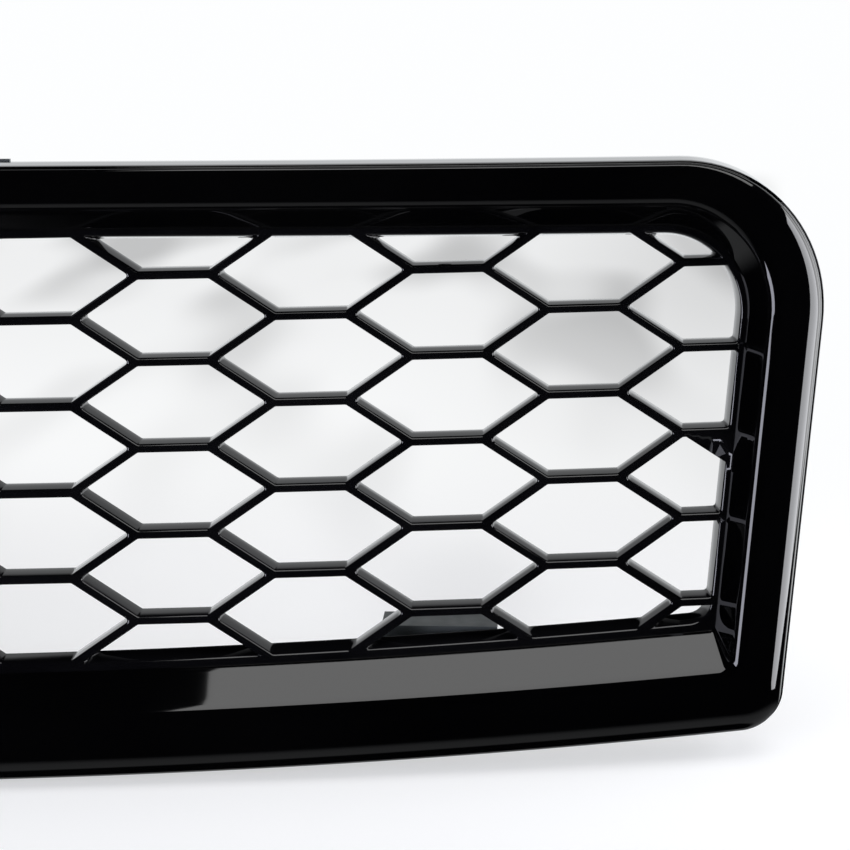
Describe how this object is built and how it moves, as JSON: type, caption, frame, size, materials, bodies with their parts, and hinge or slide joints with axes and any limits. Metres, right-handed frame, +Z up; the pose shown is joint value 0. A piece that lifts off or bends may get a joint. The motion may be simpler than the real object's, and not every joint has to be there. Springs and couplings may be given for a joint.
{
  "type": "front grille",
  "caption": "Gloss black vehicle front grille: rounded surround, elongated honeycomb insert, rear mounting brackets, U-nuts and push retainers.",
  "frame": {"origin": "middle of the two bolt holes in the upper centre bracket, on the bracket's top face", "axes": "+X to the viewer's right, -Y the way the grille faces, +Z up"},
  "size_m": [1.1016, 0.1951, 0.3555],
  "materials": {
    "gloss_black": "high-gloss piano black",
    "mesh_black": "gloss black, slightly softer than the surround",
    "bracket_steel": "grey coated steel, satin",
    "zinc_screw": "zinc plated",
    "spring_steel": "phosphated spring steel",
    "retainer_nylon": "black nylon, matte"
  },
  "bodies": {
    "grille": {"honeycomb_mesh": "mesh_black", "left_flank_bracket": "bracket_steel", "left_flank_bracket_screws": "zinc_screw", "left_flank_u_nut": "spring_steel", "left_inner_retainer": "retainer_nylon", "left_outer_retainer": "retainer_nylon", "lower_left_bracket": "bracket_steel", "lower_left_bracket_screws": "zinc_screw", "lower_left_u_nut": "spring_steel", "lower_right_bracket": "bracket_steel", "lower_right_bracket_screws": "zinc_screw", "lower_right_u_nut": "spring_steel", "mesh_screws_bottom": "zinc_screw", "mesh_screws_left": "zinc_screw", "mesh_screws_right": "zinc_screw", "mesh_screws_top": "zinc_screw", "right_flank_bracket": "bracket_steel", "right_flank_bracket_screws": "zinc_screw", "right_flank_u_nut": "spring_steel", "right_inner_retainer": "retainer_nylon", "right_outer_retainer": "retainer_nylon", "surround": "gloss_black", "upper_centre_bracket": "bracket_steel", "upper_centre_bracket_screws": "zinc_screw", "upper_left_bracket": "bracket_steel", "upper_left_bracket_screws": "zinc_screw", "upper_right_bracket": "bracket_steel", "upper_right_bracket_screws": "zinc_screw"},
    "left_inner_retainer_centre_pin": {"left_inner_retainer_pin": "retainer_nylon"},
    "left_outer_retainer_centre_pin": {"left_outer_retainer_pin": "retainer_nylon"},
    "right_inner_retainer_centre_pin": {"right_inner_retainer_pin": "retainer_nylon"},
    "right_outer_retainer_centre_pin": {"right_outer_retainer_pin": "retainer_nylon"}
  },
  "joints": [
    {"name": "left_inner_retainer_pin_slide", "type": "slide", "parent": "grille", "child": "left_inner_retainer_centre_pin", "axis": [0, 0, 1], "range_m": [0, 0.006]},
    {"name": "left_outer_retainer_pin_slide", "type": "slide", "parent": "grille", "child": "left_outer_retainer_centre_pin", "axis": [0, 0, 1], "range_m": [0, 0.006]},
    {"name": "right_inner_retainer_pin_slide", "type": "slide", "parent": "grille", "child": "right_inner_retainer_centre_pin", "axis": [0, 0, 1], "range_m": [0, 0.006]},
    {"name": "right_outer_retainer_pin_slide", "type": "slide", "parent": "grille", "child": "right_outer_retainer_centre_pin", "axis": [0, 0, 1], "range_m": [0, 0.006]}
  ]
}
